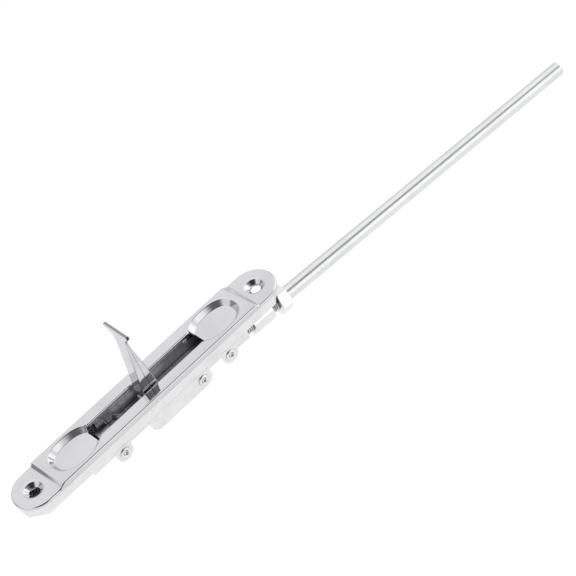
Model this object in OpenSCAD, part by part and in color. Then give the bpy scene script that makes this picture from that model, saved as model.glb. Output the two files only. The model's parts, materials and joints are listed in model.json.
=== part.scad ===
// Lever-action extension slide bolt for the edge of a door.
// X runs along the bolt towards the rod, Y across the faceplate, Z out of the door edge.
// The origin is the middle of the two screw holes, in the throat of their countersinks.

/* [Faceplate] */
// Overall length of the faceplate
plate_l = 171.45; // [165:0.05:190]
// Overall width of the faceplate
plate_w = 25.4; // [25:0.1:30]
// Thickness of the faceplate sheet
sheet_t = 1.5; // [1.2:0.1:1.8]
// Length of the raised middle at its top
raised_l = 130; // [128:0.5:134]
// Height of the raised middle above the two end lands
step_h = 1.8; // [1.2:0.1:2.4]
// Length of the sloped riser between land and raised middle
riser_run = 2; // [1.5:0.1:3]
// Rounding of the outer top edges
edge_r = 0.8; // [0.6:0.1:1.4]

/* [Screw holes] */
// Distance between the two screw holes
screw_spacing = 149; // [147:0.5:152]
// Screw hole diameter
screw_hole_d = 5.5; // [4.5:0.1:6]
// Countersink diameter at the face
csk_d = 10.5; // [9:0.1:11.5]
// Depth of the pressed countersink cone
csk_depth = 2.3; // [2:0.1:3]
// Length of the straight throat under the cone
throat_l = 0.7; // [0.5:0.1:1]

/* [Finger recesses and slot] */
// Distance of each finger recess from the middle
recess_x = 51.4; // [50:0.1:53]
// Rim radius of a finger recess
recess_r = 10.3; // [9:0.1:10.4]
// Depth of a finger recess
recess_depth = 5; // [4.4:0.1:5.5]
// Width of the sloped wall of a finger recess
recess_wall_w = 2.1; // [1.5:0.1:2.6]
// Radius of the flare between recess and slot
flare_r = 12; // [10:0.5:14]
// Straight neck of the recess before the open slot
neck_l = 1.8; // [1:0.1:3]
// Thickness of the drawn recess sheet
dish_t = 1; // [0.8:0.1:1.2]
// Width of the lever slot
slot_w = 10.6; // [10.2:0.1:11.4]
// Depth of the turned-down lip along the slot
lip_depth = 2; // [1.6:0.1:2.2]
// Thickness of that lip
lip_t = 1.2; // [0.8:0.1:1.4]
// Rounding of the slot edge
lip_r = 0.6; // [0.3:0.1:0.8]

/* [Lever] */
// Height of the lever tip above the face when it stands upright
lever_h = 39; // [38:0.1:41]
// Height above the face at which the cheeks end
cheek_h = 30.1; // [29:0.1:32]
// Lever depth along X at face level
lever_base = 9.4; // [8.6:0.1:9.8]
// Lever width over its cheeks
lever_w = 8.8; // [8.4:0.1:9.2]
// Width of the flared tip
tip_w = 18.5; // [16:0.1:19]
// Straight height of the tip's corners
tip_band = 1.5; // [1:0.1:2.5]
// Sheet thickness of the two lever leaves
leaf_t = 0.8; // [0.6:0.05:0.9]
// Distance of the pivot below the face
pivot_depth = 5.5; // [5.2:0.1:5.8]
// Height above the pivot at which the leaves start
leaf_start = 3; // [2.8:0.1:3.6]
// Swing of the lever to each side, in degrees
lever_throw = 80.5; // [78:0.5:80.5]
// Pivot stub diameter
pivot_d = 4; // [3.6:0.1:4.2]

/* [Crank and drive bar] */
// Full travel of the bolt
bolt_throw = 19; // [17:0.1:19.4]
// Crank pin diameter
crank_pin_d = 4; // [3.4:0.1:4.2]
// Crank plate thickness
crank_t = 1.25; // [1:0.05:1.3]
// Drive bar thickness
bar_t = 4; // [3.4:0.1:4.2]
// Width of each fork prong
prong_w = 2.5; // [2:0.1:2.8]
// Top of the prongs below the face
prong_top = 4.9; // [4.6:0.1:5]
// Free end of the drive bar behind the middle
bar_tail = 46; // [45:0.5:48]

/* [Casing] */
// Casing width
tray_w = 21; // [20.6:0.1:22]
// Casing length
tray_l = 169; // [166:0.5:170]
// Casing bottom below the face
tray_depth = 12.8; // [12:0.1:13.2]
// Casing sheet thickness
tray_t = 1.2; // [1:0.1:1.4]
// Rounding of the casing's bottom edge
tray_edge_r = 2.7; // [2:0.1:3.2]
// Width of the casing's narrow end faces
tray_end_w = 6; // [5:0.5:8]
// Length of the casing's tapered ends
tray_taper = 8; // [6:0.5:10]
// Side plate thickness
side_t = 1.4; // [1.2:0.1:1.6]

/* [Lugs and rivets] */
// Rear lug position along X
rear_lug_x = -29; // [-30:0.5:-27]
// Middle rivet position along X
mid_rivet_x = 24; // [23:0.5:25]
// Front lug position along X
front_lug_x = 43; // [42:0.5:44]
// Lug hole depth below the face
lug_depth = 17; // [16.9:0.1:17.4]
// Lug radius
lug_r = 4.8; // [4.4:0.1:5]
// Deep section of the side plates, bottom below the face
deep_bottom = 22; // [21.5:0.1:23]
// Corner radius of the deep section
deep_r = 5; // [3:0.5:6]
// Hollow rivet outer diameter
rivet_d = 4.2; // [3.8:0.1:4.4]
// Hollow rivet bore
rivet_bore = 2.6; // [2:0.1:2.8]
// Bead radius of a rolled rivet head
rivet_bead = 0.8; // [0.6:0.1:0.9]
// Spacer tube outer diameter
spacer_d = 5.8; // [5.4:0.1:5.9]

/* [Rod] */
// Clevis pin position along X with the lever upright
clevis_x = 52; // [51:0.5:54]
// Clevis pin depth below the face
backset = 19.05; // [18.8:0.05:19.2]
// Clevis pin diameter
clevis_pin_d = 4.4; // [4:0.1:4.6]
// Thickness of each fork tine
tine_t = 1.5; // [1.2:0.1:1.7]
// How far the hanging rod droops, in degrees
rod_droop = 4.4; // [3:0.1:4.5]
// Rod diameter
rod_d = 8; // [7.8:0.05:8.2]
// Depth of the thread's mean radius under the rod's surface
thread_depth = 0.45; // [0.35:0.05:0.6]
// Distance from the clevis pin to the rod tip
rod_reach = 242; // [150:0.5:400]
// Coupling sleeve diameter
sleeve_d = 12; // [11:0.1:12.4]
// Coupling sleeve length
sleeve_l = 13; // [12:0.1:16]
// Lock nut width across its flats
nut_flats = 13; // [12.6:0.1:13.4]
// Lock nut thickness
nut_t = 6.4; // [5:0.1:6.5]

/* [Fits] */
// Radial clearance of turning pins
run_gap = 0.05; // [0.02:0.01:0.1]
// Radial clearance of fixed pins and threads
fixed_gap = 0.03; // [0.02:0.01:0.05]
// Side clearance between sliding flat faces
side_gap = 0.35; // [0.2:0.05:0.4]
// Clearance of the drive bar slots on the spacer tubes
slot_gap = 0.08; // [0.05:0.01:0.1]
// Spare length at each end of the drive bar slots
slot_end_gap = 1; // [0.5:0.1:1.2]
// Gap between the two lever leaves along their seam
seam_gap = 0.06; // [0.04:0.01:0.1]

/* [Hidden] */
$fn = 64;

// Heights of the faceplate
land_top = throat_l / 2 + csk_depth;
land_under = land_top - sheet_t;
face_z = land_top + step_h;
face_under = face_z - sheet_t;
over = 1;
below = 40;
function at(depth) = face_z - depth;

// Plan of the faceplate
raised_half = raised_l / 2;
riser_end = raised_half + riser_run;
bend_shift = sheet_t * tan(atan2(step_h, riser_run) / 2);
end_x = (plate_l - plate_w) / 2;
slot_hw = slot_w / 2;
flare_y = slot_hw + flare_r;
flare_x = recess_x - sqrt(pow(recess_r + flare_r, 2) - flare_y * flare_y);
neck_angle = atan2(flare_y, recess_x - flare_x);
slot_end = flare_x - neck_l;
wall_steps = 10;

// Casing and side plates
side_out = tray_w / 2 - tray_t;
side_in = side_out - side_t;
taper_angle = atan2((tray_w - tray_end_w) / 2, tray_taper);
taper_dist = (tray_l / 2 - tray_taper) * sin(taper_angle) + tray_w / 2 * cos(taper_angle);
seat_gap = 0.1;
strip_top = recess_depth + dish_t + 1.2;
strip_bottom = tray_depth + 0.4;
strip_rear = rear_lug_x - lug_r - 1.2;
strip_front = front_lug_x + lug_r + 1.2;
tab_half = 30;
deep_rear = -11;
deep_margin = 5.5;
deep_front = mid_rivet_x + deep_margin;
rivet_r = rivet_d / 2;
spacer_r = spacer_d / 2;
window_top = tray_depth - 2.8;
front_open = 66;
bush_end = 4.8;
stake_first = 9.6;
stake_pitch = 4.4;
stake_count = 5;
stake_l = 2.4;
stake_h = 0.9;
stake_depth = 3.5;
bridge_rear = -34;
bridge_front = -26.4;
bridge_depth = 6.2;
bridge_t = 0.8;
bridge_lip_r = 0.6;
bush_wall = 0.8;

// Lever, measured upwards from its pivot
pivot_z = at(pivot_depth);
pivot_r = pivot_d / 2;
apex_s = cheek_h + pivot_depth;
tip_s = lever_h + pivot_depth;
lean = (lever_base / 2 - leaf_t) / cheek_h;
lever_hw = lever_w / 2;
cheek_in = lever_hw - leaf_t;
function half_depth(s) = leaf_t + (apex_s - s) * lean;
flare_rise = tip_s - tip_band - apex_s;
flare_reach = tip_w / 2 - lever_hw;
tip_flare_r = (flare_rise * flare_rise + flare_reach * flare_reach) / (2 * flare_reach);

// Crank, which turns the lever's swing into the bolt's travel
crank_r = bolt_throw / 2 / sin(lever_throw);
crank_pin_r = crank_pin_d / 2;
crank_pin_z = pivot_z - crank_r;
crank_in = cheek_in - crank_t;
travel_per_degree = bolt_throw / 2 / lever_throw;
linear_angle = acos(travel_per_degree * 180 / PI / crank_r);
crank_slack = crank_r * sin(linear_angle) - travel_per_degree * linear_angle;
fork_hw = crank_slack + crank_pin_r + run_gap * 2;
crank_boss = crank_pin_r + 1.5;
pivot_boss = pivot_r + 2.2;
crank_tab_top = 20;
window_x = bolt_throw / 2 + fork_hw + prong_w + 1.2;
window_y = cheek_in + 0.9;

// Drive bar and the pieces that hang from it
bar_hw = bar_t / 2;
clevis_r = clevis_pin_d / 2;
tongue_half = 2.9;
tongue_end = 4.2;
bar_top = tray_depth + 0.3;
bar_bottom = backset + tongue_half;
bar_front = 40;
slot_half_l = bolt_throw / 2 + spacer_r + slot_end_gap;
slot_half_h = spacer_r + slot_gap;
tine_in = bar_hw + 0.15;
tine_out = tine_in + tine_t;
clip_t = 0.5;
clevis_half = tine_out + clip_t + 0.2;
fork_room = 0.4;
fork_web = 2.4;
fork_throat = tongue_end + fork_room;
fork_end = fork_throat + fork_web;
fork_half_h = 4;
thread_r = rod_d / 2 - thread_depth;
stud_show = 4;
thread_show = 5;
end_room = 1;
sleeve_start = fork_end + stud_show;
sleeve_end = sleeve_start + sleeve_l;
stud_end = sleeve_start + sleeve_l / 2 - end_room / 2;
nut_start = sleeve_end + thread_show;
nut_end = nut_start + nut_t;
runout = 0.3;
rod_start = stud_end + end_room;
rod_chamfer = 0.7;
spring_t = 0.5;
spring_touch = 0.15;
spring_top = 8.6;
spring_bottom = tray_depth - tray_t - 0.3;
spring_root = -24;
spring_bend = -20;
spring_crest = -15.5;
spring_lead = 1;
spring_ease = 0.4;
spring_end = -13.8;
spring_lift = 2;
plate_colour = [0.83, 0.83, 0.86];
zinc_colour = [0.9, 0.91, 0.89];
lever_colour = [0.78, 0.78, 0.8];
rod_colour = [0.85, 0.86, 0.86];

// A section in Y and Z carried along X, centred on X = 0
module along_x(l) rotate([90, 0, 90]) linear_extrude(l, center = true) children();

// A section in X and Z carried along Y from y0 to y1
module across(y0, y1) translate([0, y1, 0]) rotate([90, 0, 0]) linear_extrude(y1 - y0) children();

// A round bar along Y
module bar_y(r, y0, y1) translate([0, y0, 0]) rotate([-90, 0, 0]) cylinder(h = y1 - y0, r = r);

// Both ends of a symmetric part
module both_ends() for (turn = [0, 180]) rotate([0, 0, turn]) children();

// Both sides of a symmetric part
module both_sides() for (turn = [0, 1]) mirror([0, turn, 0]) children();

// A rectangle standing on Y = 0 with its two top corners rounded
module rounded_top(w, h, r)
  intersection() {
    translate([-w / 2, 0]) square([w, h]);
    union() {
      translate([-w / 2, 0]) square([w, h - r]);
      translate([r - w / 2, 0]) square([w - 2 * r, h]);
      for (x = [-1, 1]) translate([x * (w / 2 - r), h - r]) circle(r);
    }
  }

// The wall of a recess as steps of an S curve: lean inwards, then drop
function recess_wall(grow) = [
  for (i = [0 : wall_steps])
    let (s = i / wall_steps)
    [grow - recess_wall_w * s, face_z - (recess_depth + grow) * (1 - cos(180 * s)) / 2]
];

// Space of one finger recess with its flared neck, widened all round by grow
module recess_volume(grow) {
  wall = recess_wall(grow);
  floor_z = face_z - recess_depth - grow;
  top_z = face_z + (grow == 0 ? over : 0);
  translate([recess_x, 0, 0])
    rotate([0, 0, neck_angle - 180])
      rotate_extrude(angle = 360 - 2 * neck_angle)
        polygon(concat([[0, top_z], [recess_r + grow, top_z]], [for (p = wall) [recess_r + p[0], p[1]]], [[0, floor_z]]));
  difference() {
    translate([0, 0, floor_z])
      linear_extrude(top_z - floor_z)
        polygon([[recess_x, 0], [flare_x, flare_y], [flare_x, -flare_y]]);
    both_sides()
      translate([flare_x, flare_y, 0])
        rotate_extrude()
          polygon(concat(
            [[0, top_z + over], [flare_r - grow, top_z + over]],
            [for (p = wall) [flare_r - p[0], p[1]]],
            [[flare_r + recess_wall_w - grow, floor_z - over], [0, floor_z - over]]
          ));
  }
  right = [for (p = wall) [slot_hw + p[0], p[1]]];
  left = [for (i = [wall_steps : -1 : 0]) [-right[i][0], right[i][1]]];
  translate([slot_end + neck_l / 2, 0, 0])
    along_x(neck_l)
      polygon(concat([[-slot_hw - grow, top_z], [slot_hw + grow, top_z]], right, left));
}

// The raised middle as an open pan with sloped ends
module raised_pan() {
  difference() {
    intersection() {
      translate([0, 0, land_under]) along_x(2 * riser_end) rounded_top(plate_w, sheet_t + step_h, edge_r);
      across(-plate_w, plate_w)
        polygon([
          [-riser_end, land_under], [-riser_end, land_top], [-raised_half, face_z],
          [raised_half, face_z], [riser_end, land_top], [riser_end, land_under]
        ]);
    }
    intersection() {
      translate([0, 0, land_under - over])
        along_x(2 * riser_end)
          translate([sheet_t - plate_w / 2, 0]) square([plate_w - 2 * sheet_t, sheet_t + step_h + over]);
      under_plate(over);
    }
  }
}

// Everything under the sheet of the raised middle, down to drop below the lands
module under_plate(drop)
  across(-plate_w, plate_w)
    polygon([
      [bend_shift - riser_end, land_under - drop], [bend_shift - riser_end, land_under],
      [bend_shift - raised_half, face_under], [raised_half - bend_shift, face_under],
      [riser_end - bend_shift, land_under], [riser_end - bend_shift, land_under - drop]
    ]);

// One round end land, on the +X side, with its pressed countersink
module end_land() {
  start = riser_end - bend_shift / 2;
  translate([(start + end_x) / 2, 0, land_under])
    along_x(end_x - start)
      rounded_top(plate_w, sheet_t, edge_r);
  translate([end_x, 0, land_under])
    rotate([0, 0, -90])
      rotate_extrude(angle = 180)
        intersection() {
          rounded_top(plate_w, sheet_t, edge_r);
          square([plate_w, sheet_t]);
        }
  translate([screw_spacing / 2, 0, -throat_l / 2])
    cylinder(h = land_top + throat_l / 2, r1 = screw_hole_d / 2 + dish_t, r2 = csk_d / 2 + dish_t / 2);
}

// The slot's cut, with rounded top edges
module slot_cut() {
  arc = [for (i = [0 : 4]) [slot_hw + lip_r * (1 - sin(i * 22.5)), face_z - lip_r * (1 - cos(i * 22.5))]];
  flip = [for (i = [4 : -1 : 0]) [-arc[i][0], arc[i][1]]];
  along_x(2 * slot_end)
    polygon(concat(
      [[-slot_hw - lip_r, face_z + over], [slot_hw + lip_r, face_z + over]],
      arc, [[slot_hw, -below], [-slot_hw, -below]], flip
    ));
}

module faceplate()
  color(plate_colour)
    difference() {
      union() {
        raised_pan();
        both_ends() {
          end_land();
          recess_volume(dish_t);
        }
        both_sides()
          translate([-slot_end, slot_hw, at(lip_depth)])
            cube([2 * slot_end, lip_t, lip_depth - lip_r]);
      }
      slot_cut();
      both_ends() {
        recess_volume(0);
        translate([screw_spacing / 2, 0, -throat_l]) cylinder(h = land_top + throat_l, r = screw_hole_d / 2);
        translate([screw_spacing / 2, 0, throat_l / 2])
          cylinder(h = csk_depth, r1 = screw_hole_d / 2, r2 = csk_d / 2);
        translate([screw_spacing / 2, 0, land_top]) cylinder(h = step_h, r = csk_d / 2);
      }
    }

// A long block whose two bottom edges are rounded, its sides at half_w
module keel(half_w, bottom, r)
  translate([0, 0, face_z]) mirror([0, 0, 1]) along_x(2 * tray_l) rounded_top(2 * half_w, bottom, r);

// The casing's outside, or its inside when inset by the sheet
module tray_block(inset) {
  bottom = tray_depth - inset;
  r = tray_edge_r - inset;
  intersection() {
    keel(tray_w / 2 - inset, bottom, r);
    rotate([0, 0, 90]) keel(tray_l / 2 - inset, bottom, r);
    rotate([0, 0, 90 - taper_angle]) rotate([0, 0, 90]) keel(taper_dist - inset, bottom, r);
    rotate([0, 0, taper_angle - 90]) rotate([0, 0, 90]) keel(taper_dist - inset, bottom, r);
  }
}

module housing_tray()
  color(zinc_colour)
    difference() {
      intersection() {
        tray_block(0);
        union() {
          under_plate(below);
          translate([-tray_l, -tray_w, land_under - below]) cube([2 * tray_l, 2 * tray_w, below]);
        }
      }
      tray_block(tray_t);
      both_ends() recess_volume(dish_t + seat_gap);
      translate([front_open, -side_out, -below]) cube([tray_l, 2 * side_out, below + at(window_top)]);
      translate([-window_x, -window_y, -below]) cube([2 * window_x, 2 * window_y, below + at(window_top)]);
      both_sides()
        translate([strip_rear - seat_gap, side_in - seat_gap, -below])
          cube([strip_front - strip_rear + 2 * seat_gap, side_t + seat_gap, below + at(window_top)]);
      translate([-screw_spacing / 2, 0, -below]) cylinder(h = below, r = screw_hole_d / 2 + 1);
    }

// Outline of a side plate in X and Z
module side_outline() {
  translate([strip_rear, at(strip_bottom)]) square([strip_front - strip_rear, strip_bottom - strip_top]);
  translate([-tab_half, at(strip_bottom)]) square([2 * tab_half, strip_bottom - sheet_t]);
  for (x = [rear_lug_x, front_lug_x]) {
    translate([x, at(lug_depth)]) circle(lug_r);
    translate([x - lug_r, at(lug_depth)]) square([2 * lug_r, lug_depth - strip_top]);
  }
  translate([deep_rear, at(deep_bottom - deep_r)])
    square([deep_front - deep_rear, deep_bottom - deep_r - strip_top]);
  translate([deep_rear + deep_r, at(deep_bottom)])
    square([deep_front - deep_rear - 2 * deep_r, deep_bottom - strip_top]);
  for (x = [deep_rear + deep_r, deep_front - deep_r]) translate([x, at(deep_bottom - deep_r)]) circle(deep_r);
}

// The far side plate, drilled for the rivets and the pivot, with a row of staking slots under the faceplate
module side_plate()
  color(zinc_colour)
    across(side_in, side_out)
      difference() {
        side_outline();
        for (x = [rear_lug_x, mid_rivet_x, front_lug_x]) translate([x, at(lug_depth)]) circle(rivet_r + fixed_gap);
        translate([0, pivot_z]) circle(pivot_r + fixed_gap);
        for (side = [-1, 1], i = [0 : stake_count - 1])
          translate([side * (stake_first + i * stake_pitch) - stake_l / 2, at(stake_depth)])
            square([stake_l, stake_h]);
      }

module side_plate_near() mirror([0, 1, 0]) side_plate();
module side_plate_far() side_plate();

// A tube on the lug axis at x
module lug_tube(x, r, bore, y0, y1)
  translate([x, 0, at(lug_depth)])
    difference() {
      bar_y(r, y0, y1);
      bar_y(bore, y0 - over, y1 + over);
    }

module spacer_tubes()
  color(zinc_colour)
    for (x = [rear_lug_x, mid_rivet_x]) lug_tube(x, spacer_r, rivet_r + fixed_gap, -side_in, side_in);

module guide_bushes()
  color(zinc_colour)
    both_sides() lug_tube(front_lug_x, spacer_r, rivet_r + fixed_gap, bush_end, side_in);

// A rolled rivet head outside the side plate
module rolled_head(x)
  translate([x, side_out, at(lug_depth)])
    rotate([-90, 0, 0])
      rotate_extrude()
        intersection() {
          translate([rivet_r, 0]) circle(rivet_bead);
          square([2 * rivet_r, rivet_bead]);
        }

module hollow_rivets()
  color(zinc_colour) {
    for (x = [rear_lug_x, mid_rivet_x]) {
      lug_tube(x, rivet_r, rivet_bore / 2, -side_out, side_out);
      both_sides() rolled_head(x);
    }
    both_sides() {
      lug_tube(front_lug_x, rivet_r, rivet_bore / 2, bush_end, side_out);
      rolled_head(front_lug_x);
    }
  }

module pivot_rivets()
  color(rod_colour)
    both_sides() translate([0, 0, pivot_z]) bar_y(pivot_r, bar_hw + side_gap / 2, side_out);

module pivot_bushes()
  color(zinc_colour)
    both_sides()
      translate([0, 0, pivot_z])
        difference() {
          bar_y(pivot_r + bush_wall, lever_hw + side_gap / 2, side_in);
          bar_y(pivot_r + fixed_gap, 0, side_out);
        }

// A strip of even thickness along a path of plan points
function side_step(path, i) = let (a = path[max(i - 1, 0)], b = path[min(i + 1, len(path) - 1)], d = b - a) [-d[1], d[0]] / norm(d);
module strip(path, t)
  polygon(concat(path, [for (i = [len(path) - 1 : -1 : 0]) path[i] + t * side_step(path, i)]));

// A spring strip on the far side plate that steadies the fork at the drawn-back end of its travel
module friction_spring()
  color(rod_colour) {
    touch_y = bar_hw + spring_touch + spring_t;
    translate([0, 0, at(spring_bottom)])
      linear_extrude(spring_bottom - spring_top)
        strip([
          [spring_root, side_in], [spring_bend, side_in], [spring_crest - spring_lead, touch_y + spring_ease],
          [spring_crest, touch_y], [spring_crest + spring_lead, touch_y + spring_ease], [spring_end, touch_y + spring_lift]
        ], -spring_t);
  }

// A plate with a rolled edge that ties the side plates behind the lever
module bridge_plate()
  color(zinc_colour)
    translate([0, 0, at(bridge_depth + bridge_t)]) {
      translate([bridge_rear, -side_in, 0]) cube([bridge_front - bridge_rear, 2 * side_in, bridge_t]);
      translate([bridge_front, 0, bridge_t / 2]) bar_y(bridge_lip_r, -side_in, side_in);
    }

// One lever leaf, on the -X side: a leaning web, two cheeks and half of the flared tip
module lever_leaf() {
  foot = half_depth(leaf_start);
  translate([0, 0, pivot_z]) {
    across(-lever_hw, lever_hw)
      polygon([
        [-foot, leaf_start], [leaf_t - foot, leaf_start], [-seam_gap / 2, apex_s - seam_gap / 2 / lean],
        [-seam_gap / 2, apex_s], [-leaf_t, apex_s]
      ]);
    both_sides()
      across(cheek_in, lever_hw)
        polygon([[-foot, leaf_start], [-seam_gap / 2, leaf_start], [-seam_gap / 2, apex_s], [-leaf_t, apex_s]]);
    translate([-(leaf_t + seam_gap / 2) / 2, 0, 0])
      along_x(leaf_t - seam_gap / 2)
        difference() {
          translate([-tip_w / 2, apex_s]) square([tip_w, tip_s - apex_s]);
          for (side = [-1, 1])
            translate([side * (lever_hw + tip_flare_r), apex_s]) circle(tip_flare_r);
          for (side = [-1, 1])
            translate([side * (lever_hw + tip_flare_r) - tip_flare_r, apex_s - over])
              square([2 * tip_flare_r, over]);
        }
  }
}

module lever_front_leaf() color(lever_colour) lever_leaf();
module lever_back_leaf() color(lever_colour) rotate([0, 0, 180]) lever_leaf();

// The far crank plate: pivot boss, arm down to the crank pin, tab up inside the leaves
module crank_plate() {
  tab_low = half_depth(leaf_start) - leaf_t - 2 * seam_gap;
  tab_high = half_depth(crank_tab_top) - leaf_t - 2 * seam_gap;
  color(zinc_colour)
    difference() {
      union() {
        translate([0, 0, pivot_z]) bar_y(pivot_boss, crank_in, cheek_in);
        translate([0, 0, crank_pin_z]) bar_y(crank_boss, crank_in, cheek_in);
        translate([-crank_boss, crank_in, crank_pin_z]) cube([2 * crank_boss, crank_t, crank_r]);
        translate([0, 0, pivot_z])
          across(crank_in, cheek_in)
            polygon([
              [-crank_boss, 0], [-tab_low, leaf_start], [-tab_high, crank_tab_top],
              [tab_high, crank_tab_top], [tab_low, leaf_start], [crank_boss, 0]
            ]);
      }
      translate([0, 0, pivot_z]) bar_y(pivot_r + run_gap, 0, lever_hw);
      translate([0, 0, crank_pin_z]) bar_y(crank_pin_r + fixed_gap, 0, lever_hw);
    }
}

module crank_plate_near() mirror([0, 1, 0]) crank_plate();
module crank_plate_far() crank_plate();

module crank_pin() color(rod_colour) translate([0, 0, crank_pin_z]) bar_y(crank_pin_r, -cheek_in, cheek_in);

// A long hole with round ends, centred on x at the lug depth
module guide_slot(x)
  translate([x, at(lug_depth)]) {
    translate([spacer_r - slot_half_l, -slot_half_h]) square([2 * (slot_half_l - spacer_r), 2 * slot_half_h]);
    for (end = [-1, 1]) translate([end * (slot_half_l - slot_half_h), 0]) circle(slot_half_h);
  }

module drive_bar()
  color(zinc_colour)
    across(-bar_hw, bar_hw)
      difference() {
        union() {
          translate([-bar_tail, at(bar_bottom)]) square([bar_tail + bar_front, bar_bottom - bar_top]);
          translate([bar_front - over, at(bar_bottom)])
            square([clevis_x + tongue_end - bar_front + over, 2 * tongue_half]);
          translate([-fork_hw - prong_w, at(bar_bottom)]) square([2 * (fork_hw + prong_w), bar_bottom - prong_top]);
        }
        translate([-fork_hw, crank_pin_z]) square([2 * fork_hw, crank_r + pivot_depth]);
        translate([0, crank_pin_z])
          intersection() {
            translate([-fork_hw, -crank_pin_r - run_gap * 2]) square([2 * fork_hw, crank_pin_d]);
            circle(fork_hw);
          }
        guide_slot(rear_lug_x);
        guide_slot(mid_rivet_x);
        translate([clevis_x, at(backset)]) circle(clevis_r + fixed_gap);
      }

module clevis_pin()
  color(rod_colour)
    translate([clevis_x, 0, at(backset)]) bar_y(clevis_r, -clevis_half, clevis_half);

module clevis_clips()
  color(rod_colour)
    translate([clevis_x, 0, at(backset)])
      both_sides()
        difference() {
          bar_y(clevis_r + 1, tine_out + fixed_gap, tine_out + clip_t);
          bar_y(clevis_r + fixed_gap, 0, clevis_half + over);
        }

// Pieces of the rod, drawn along X from the clevis pin and then drooped
module hung() translate([clevis_x, 0, at(backset)]) rotate([0, rod_droop, 0]) children();

// A round bar along the rod's axis from u0 to u1
module bar_u(r, u0, u1) translate([u0, 0, 0]) rotate([0, 90, 0]) cylinder(h = u1 - u0, r = r);

module clevis_stud()
  color(zinc_colour)
    hung() {
      difference() {
        union() {
          across(-tine_out, tine_out) circle(fork_half_h);
          translate([0, -tine_out, -fork_half_h]) cube([fork_end, 2 * tine_out, 2 * fork_half_h]);
        }
        translate([-2 * fork_half_h, -tine_in, -2 * fork_half_h])
          cube([2 * fork_half_h + fork_throat, 2 * tine_in, 4 * fork_half_h]);
        bar_y(clevis_r + run_gap, -tine_out - over, tine_out + over);
      }
      bar_u(thread_r, fork_end - over, stud_end);
    }

module coupling_sleeve()
  color(rod_colour)
    hung()
      difference() {
        bar_u(sleeve_d / 2, sleeve_start, sleeve_end);
        bar_u(thread_r + fixed_gap, sleeve_start - over, sleeve_end + over);
      }

// A hexagon nut with both ends turned to a blunt cone
module lock_nut()
  color(zinc_colour)
    hung() {
      corner_r = nut_flats / sqrt(3);
      bevel = corner_r - nut_flats / 2;
      difference() {
        intersection() {
          translate([nut_start, 0, 0]) rotate([0, 90, 0]) rotate([0, 0, 30]) cylinder(h = nut_t, r = corner_r, $fn = 6);
          translate([nut_start, 0, 0])
            rotate([0, 90, 0])
              rotate_extrude()
                polygon([
                  [0, 0], [corner_r - bevel, 0], [corner_r, bevel / 2], [corner_r, nut_t - bevel / 2],
                  [corner_r - bevel, nut_t], [0, nut_t]
                ]);
        }
        bar_u(thread_r + fixed_gap, nut_start - over, nut_end + over);
      }
    }

module bolt_rod()
  color(rod_colour)
    hung()
      rotate([0, 90, 0])
        rotate_extrude()
          polygon([
            [0, rod_start], [thread_r, rod_start], [thread_r, nut_end + runout], [rod_d / 2, nut_end + runout],
            [rod_d / 2, rod_reach - rod_chamfer], [rod_d / 2 - rod_chamfer, rod_reach], [0, rod_reach]
          ]);

faceplate();
housing_tray();
side_plate_near();
side_plate_far();
spacer_tubes();
guide_bushes();
hollow_rivets();
pivot_rivets();
pivot_bushes();
friction_spring();
bridge_plate();
lever_front_leaf();
lever_back_leaf();
crank_plate_near();
crank_plate_far();
crank_pin();
drive_bar();
clevis_pin();
clevis_clips();
clevis_stud();
coupling_sleeve();
lock_nut();
bolt_rod();
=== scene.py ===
"""Looks of a lever-action slide bolt: polished faceplate and lever, zinc-plated works, drawn rod."""

import json

import bmesh
import bpy
import numpy as np
from mathutils import Matrix, Vector


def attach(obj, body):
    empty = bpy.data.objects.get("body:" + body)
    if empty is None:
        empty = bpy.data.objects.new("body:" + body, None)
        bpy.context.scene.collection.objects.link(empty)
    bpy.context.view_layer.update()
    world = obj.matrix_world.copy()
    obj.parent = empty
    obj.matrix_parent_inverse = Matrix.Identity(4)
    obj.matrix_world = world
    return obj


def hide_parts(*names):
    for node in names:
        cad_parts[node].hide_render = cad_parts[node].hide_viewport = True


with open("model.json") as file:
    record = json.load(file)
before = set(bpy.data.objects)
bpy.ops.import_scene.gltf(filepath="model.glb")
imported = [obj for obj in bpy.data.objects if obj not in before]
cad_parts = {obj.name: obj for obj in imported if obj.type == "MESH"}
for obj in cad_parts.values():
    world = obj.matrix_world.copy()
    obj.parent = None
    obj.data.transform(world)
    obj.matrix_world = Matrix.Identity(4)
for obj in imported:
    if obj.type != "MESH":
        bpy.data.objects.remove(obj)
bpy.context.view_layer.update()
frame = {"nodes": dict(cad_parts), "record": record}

# Sizes below are in millimetres, meshes are in metres
MM = 0.001

# Faceplate
FACE_Z = 4.45
LAND_TOP = 2.65
LAND_UNDER = 1.15
PLATE_HALF_W = 12.7
END_X = 73.025
RIM_R = 1.2
BEAD_W = 0.3
BEAD_H = 0.04
EDGE_Y = PLATE_HALF_W - RIM_R - BEAD_W
RISER_FROM = 62.0
RISER_TO = 68.6
SHEET = 0.9

# Middle and half length of the step to the lands, where it is longest and where it is steepest
STEP_LONG = (65.1, 2.9)
STEP_STEEP = (66.1, 1.2)

# Lever slot and its lip
SLOT_HALF_W = 5.3
SLOT_END = 34.5
LIP_R = 1.0
LIP_DEPTH = 2.0
NECK_HALF_W = SLOT_HALF_W + LIP_R
NECK_BLEND = 1.2

# Finger recesses
OVAL_X = 47.2
OVAL_A = 14.3
OVAL_B = 10.95
OVAL_POWER = 2.35
RECESS_DEPTH = 3.0
RECESS_WALL = 3.2
RIM_ROLL = 1.0
FOOT_ROLL = 0.7
FLAT_SHARES = np.array([0, 0.12, 0.3, 0.5, 0.7, 0.88, 1.0])

# Screw holes
SCREW_X = 74.5
HOLE_R = 2.75
SINK_R = 5.25
SINK_FLAT_R = 5.6
THROAT = 0.35
BRIM_DIP = 0.16

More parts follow.
